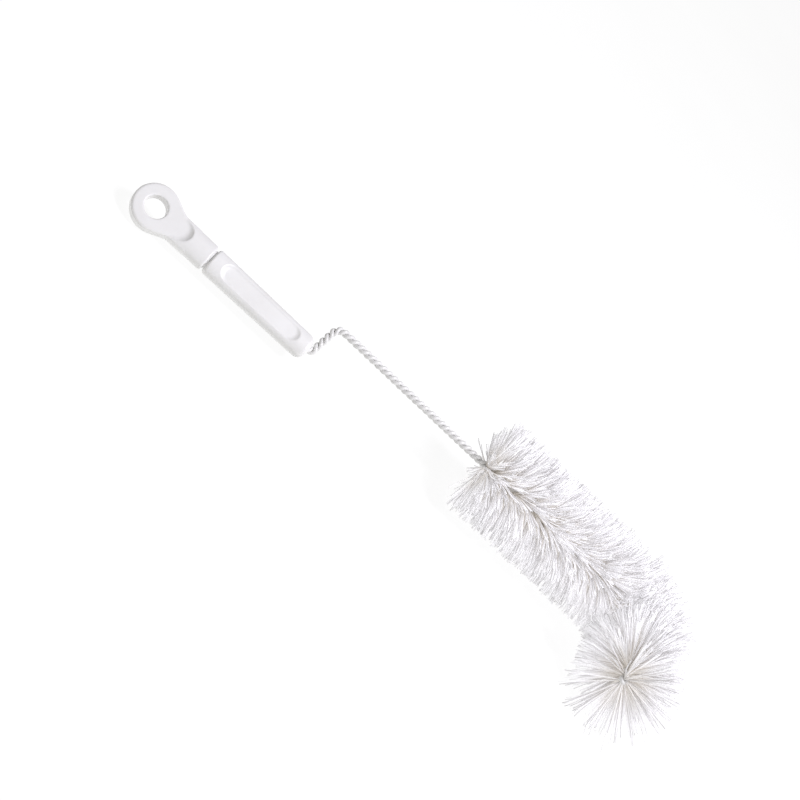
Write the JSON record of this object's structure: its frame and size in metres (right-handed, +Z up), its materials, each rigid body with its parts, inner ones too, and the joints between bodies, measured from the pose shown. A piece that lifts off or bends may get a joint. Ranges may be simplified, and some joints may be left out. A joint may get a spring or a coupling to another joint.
{
  "type": "bottle brush",
  "caption": "White bottle brush with a moulded handle and hanging eye, a cranked twisted wire stem, and a nylon bristle head bent over at the tip.",
  "frame": {"origin": "middle of the footprint on the table, under the centre of the whole object's box", "axes": "+X along the stem from the handle to the brush, +Z up from the table; the end of the brush bends over towards -Y"},
  "size_m": [0.405, 0.1104, 0.0632],
  "materials": {
    "handle_plastic": "satin",
    "coated_wire": "satin",
    "nylon_bristle": "satin"
  },
  "bodies": {
    "root": {"handle": "handle_plastic", "wire": "coated_wire", "bristles": "nylon_bristle"}
  },
  "joints": []
}
